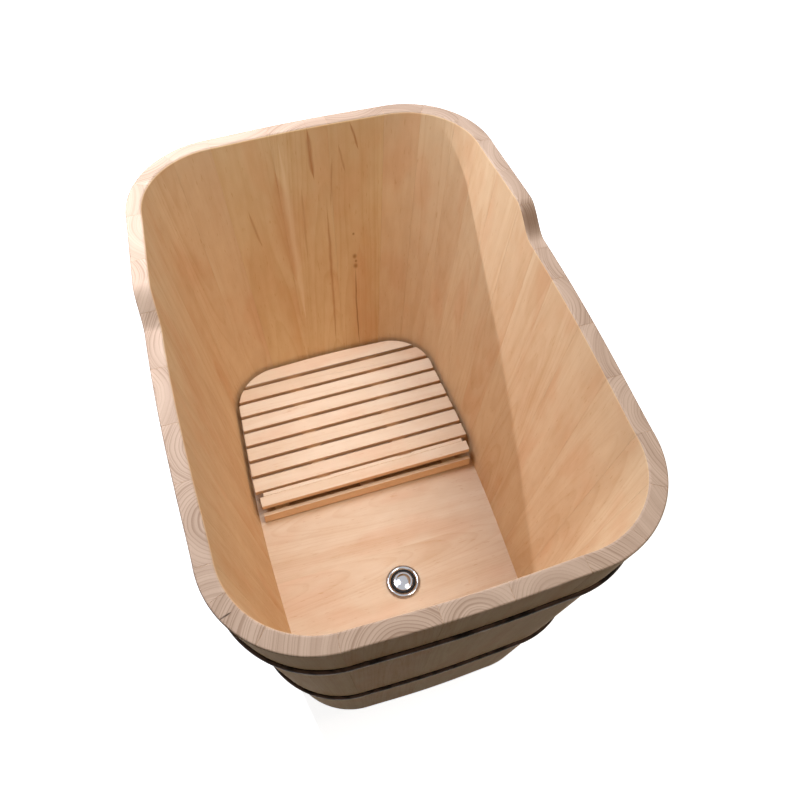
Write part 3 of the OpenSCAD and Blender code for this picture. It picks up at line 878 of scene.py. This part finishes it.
def lathe(bm, profile, shape=None, turns=96):
    """Turns a section of (radius, height) in mm about the drain, heights from the floor's top.

    `shape` changes a radius by its height and its angle, for threads and flats.
    """
    rows = []
    for r, h in profile:
        row = []
        for i in range(turns):
            a = 2 * math.pi * i / turns
            radius = (shape(r, h, a) if shape else r) * MM
            row.append(bm.verts.new((
                drain.x + radius * math.cos(a), drain.y + radius * math.sin(a), floor_top + h * MM,
            )))
        rows.append(row)
    for a, b in zip(rows, rows[1:] + rows[:1]):
        for i in range(turns):
            j = (i + 1) % turns
            bm.faces.new((a[i], a[j], b[j], b[i]))
    bmesh.ops.remove_doubles(bm, verts=bm.verts, dist=0.001 * MM)


def eased(profile, size):
    """The section with each of its corners rounded off by `size` mm."""
    out = []
    for before, at, after in zip(profile[-1:] + profile[:-1], profile, profile[1:] + profile[:1]):
        at, ends = Vector(at), (Vector(before), Vector(after))
        cuts = [at + (e - at) * min(0.45, size / max((e - at).length, 1e-6)) for e in ends]
        bend = [cuts[0].lerp(at, t).lerp(at.lerp(cuts[1], t), t) for t in (0.35, 0.65)]
        out += [cuts[0], *bend, cuts[1]]
    return out


def turned(name, profile, body, node, material, shape=None):
    bm = bmesh.new()
    lathe(bm, profile, shape)
    piece = finish_mesh(name, bm, body, node, material)


def thread(r, h, a):
    """A right-hand thread of 2 mm pitch, 0.7 mm deep, in the body's outside below the floor."""
    if r < 23.7 or not -46 < h < -29:
        return r
    phase = (h / 2 - a / (2 * math.pi)) % 1
    return r - 0.7 * min(1, 2.4 * abs(phase - 0.5))


def make_waste_body():
    """The flange, its throat, the bore down to the outlet, and the thread outside it."""
    bm = bmesh.new()
    flange = [(23.9, 1.5), (34.2, 1.5), (34.75, 1.75), (35, 2.3), (34.9, 2.9), (34.3, 3.94)]
    flange += [(33.6, 4.75), (32.8, 5.35), (31.8, 5.85), (30.8, 6.2), (29.7, 6.22), (28.6, 6.1)]
    throat = [(27.7, 5.7), (26.8, 5.2), (25.9, 4.8), (25.2, 4.3)]
    throat += [(23.4, 1.4), (21.5, -1.5), (21.0, -2.6)]
    bore = [(20.9, -3.5), (20.9, -45), (20.0, -46.4), (17.8, -48.4)]
    bore += [(17.5, -49), (17.5, -71.4), (18.1, -72)]
    outside = [(19.4, -72), (20, -71.4), (20, -48), (23.4, -48), (23.9, -47.4)]
    steps = 72
    outside += [(23.9, -46 + 17 * i / steps) for i in range(steps + 1)]
    lathe(bm, flange + throat + bore + outside, thread)
    # The sleeve that guides the plug's stem, and three ribs that hold it.
    guide = eased([(5.0, -30), (7.95, -30), (7.95, -16), (5.0, -16)], 0.5)
    lathe(bm, guide)
    for a in (90, 210, 330):
        turn = Matrix.Rotation(math.radians(a), 4, "Z")
        rib = bmesh.ops.create_cube(bm, size=1)["verts"]
        bmesh.ops.scale(bm, vec=(14.4 * MM, 3 * MM, 12 * MM), verts=rib)
        bmesh.ops.translate(bm, vec=(14.2 * MM, 0, -24 * MM), verts=rib)
        bmesh.ops.transform(bm, matrix=turn, verts=rib)
        bmesh.ops.translate(bm, vec=(drain.x, drain.y, floor_top), verts=rib)
    piece = finish_mesh("waste_body_chrome", bm, "tub", "waste_body", CHROME)


def make_waste():
    make_waste_body()
    gasket = eased([(24.1, 0), (34.2, 0), (34.2, 1.5), (24.1, 1.5)], 0.3)
    turned("gasket_ring", gasket, "tub", "flange_gasket", RUBBER)
    washer = eased([(24.1, -31), (34, -31), (34, -28), (24.1, -28)], 0.5)
    turned("washer_ring", washer, "tub", "under_floor_washer", RUBBER)

    def flats(r, h, a):
        """The nut's six sides, 62 mm across."""
        return min(r, 31 / math.cos(a % (math.pi / 3) - math.pi / 6))

    nut = [(24.7, -40), (31.0, -40), (33.4, -39.3), (35.79, -38.2)]
    nut += [(35.79, -32.8), (33.4, -31.7), (31.0, -31), (24.7, -31), (24.1, -31.6), (24.1, -39.4)]
    turned("lock_nut_brass", nut, "tub", "lock_nut", BRASS, flats)

    dome = [(0.0, 4.4), (19.2, 4.4), (19.7, 4.6), (20, 5.0)]
    dome += [(19.95, 5.35), (19.7, 5.6), (19.1, 6.0), (18.0, 6.42)]
    steps = 12
    for i in range(steps + 1):
        r = 16 * (1 - i / steps)
        dome.append((r, 8.38 - 4.0 * (r / 20.4) ** 2.6))
    turned("cap_dome", dome, "plug", "plug_cap", CHROME)
    seal = eased([(4.95, 2.4), (24, 2.4), (24, 4.4), (4.95, 4.4)], 0.6)
    turned("seal_ring", seal, "plug", "plug_seal", RUBBER)
    stem = [(0.0, -42), (6.5, -42), (6.95, -41.5), (6.95, -39.5)]
    stem += [(6.5, -39), (4.95, -39), (4.95, 4.4), (0.0, 4.4)]
    turned("stem_brass", stem, "plug", "plug_stem", BRASS)


make_staves()
make_hoops()
make_floor()
make_bearers()
make_seat()
make_rail_and_blocks()
make_waste()


# ---- Studio ----


def seen_directly(tree):
    """1 where the eye meets a surface straight on, in a reflection or through glass."""
    path = add(tree, "LightPath").outputs
    inputs = {0: path["Is Camera Ray"], 1: path["Is Glossy Ray"]}
    inputs = {0: add(tree, "Math", inputs, operation="MAXIMUM"), 1: path["Is Transmission Ray"]}
    return add(tree, "Math", inputs, operation="MAXIMUM")


def make_floor_and_world():
    bm = bmesh.new()
    bmesh.ops.create_grid(bm, x_segments=8, y_segments=8, size=6)
    mesh = bpy.data.meshes.new("studio_floor")
    bm.to_mesh(mesh)
    bm.free()
    ground = bpy.data.objects.new("studio_floor", mesh)
    bpy.context.scene.collection.objects.link(ground)
    # White to the camera, with the tub's soft shadow; to the tub's own light it is a dull brown.
    material, tree, shader = surface("matt_white_paper")
    shown = seen_directly(tree)
    tint = add(tree, "Mix", {0: shown, 6: colour("#60502F"), 7: colour("#F2F2F0")}, **IN_COLOUR)
    glow = add(tree, "Math", {0: shown, 1: 0.9}, operation="MULTIPLY")
    feed(tree, shader, {"Base Color": tint, "Emission Strength": glow})
    feed(tree, shader, {"Roughness": 0.9, "Emission Color": (1, 1, 1, 1)})
    mesh.materials.append(material)

    world = bpy.data.worlds.new("studio")
    bpy.context.scene.world = world
    world.use_nodes = True
    tree = world.node_tree
    tree.nodes.clear()
    soft = add(tree, "Background", {"Color": colour("#FFF2DE"), "Strength": 0.03})
    white = add(tree, "Background", {"Color": (1, 1, 1, 1), "Strength": 1.0})
    sky = add(tree, "MixShader", {0: seen_directly(tree), 1: soft, 2: white})
    add(tree, "OutputWorld", {"Surface": sky})


def lamp(name, at, aim, size, power, tint):
    """A round lamp `size` m across, of `power` W."""
    light = bpy.data.lights.new(name, "AREA")
    light.shape = "DISK"
    light.size = size
    light.energy = power
    light.color = colour(tint)[:3]
    holder = bpy.data.objects.new(name, light)
    holder.location = at
    holder.rotation_mode = "QUATERNION"
    holder.rotation_quaternion = (Vector(aim) - Vector(at)).to_track_quat("-Z", "Y")
    bpy.context.scene.collection.objects.link(holder)


def make_camera():
    """The photograph's camera, fitted to the rim, the floor, the seat and the hoops."""
    azimuth, elevation, roll = (math.radians(a) for a in (-17.955, 50.035, 0.109))
    aim, distance = Vector((0.14807, 0.29510, 0.34139)), 1.87618
    back = Vector((
        math.sin(azimuth) * math.cos(elevation),
        -math.cos(azimuth) * math.cos(elevation),
        math.sin(elevation),
    ))
    level = (-back).cross(Vector((0, 0, 1))).normalized()
    rise = level.cross(-back)
    right = level * math.cos(roll) + rise * math.sin(roll)
    up = rise * math.cos(roll) - level * math.sin(roll)
    data = bpy.data.cameras.new("camera")
    data.sensor_width = 36
    data.lens = 38.859
    data.shift_y = -0.1
    data.clip_start, data.clip_end = 0.05, 50
    holder = bpy.data.objects.new("camera", data)
    turn = Matrix((right, up, back)).transposed()
    holder.matrix_world = Matrix.Translation(aim + back * distance) @ turn.to_4x4()
    bpy.context.scene.collection.objects.link(holder)
    bpy.context.scene.camera = holder


make_floor_and_world()
# The first hangs low over the tub's left side, the second stands high at its front right, and
# the small hard one behind throws the slanting edge of shadow on the right wall.
lamp("overhead_softbox", (-0.33, 0.4, 1.5), (0, 0, 0.35), 0.5, 11.2, "#EAF2FF")
lamp("front_softbox", (1.2, -0.7, 3.8), (0, 0, 0.3), 1.3, 61, "#FFF8EE")
lamp("bare_lamp_behind", (-0.8, 1.48, 1.58), (0, 0, 0.4), 0.05, 23.6, "#EDEEFF")
make_camera()

bpy.context.scene.view_settings.view_transform = "Standard"
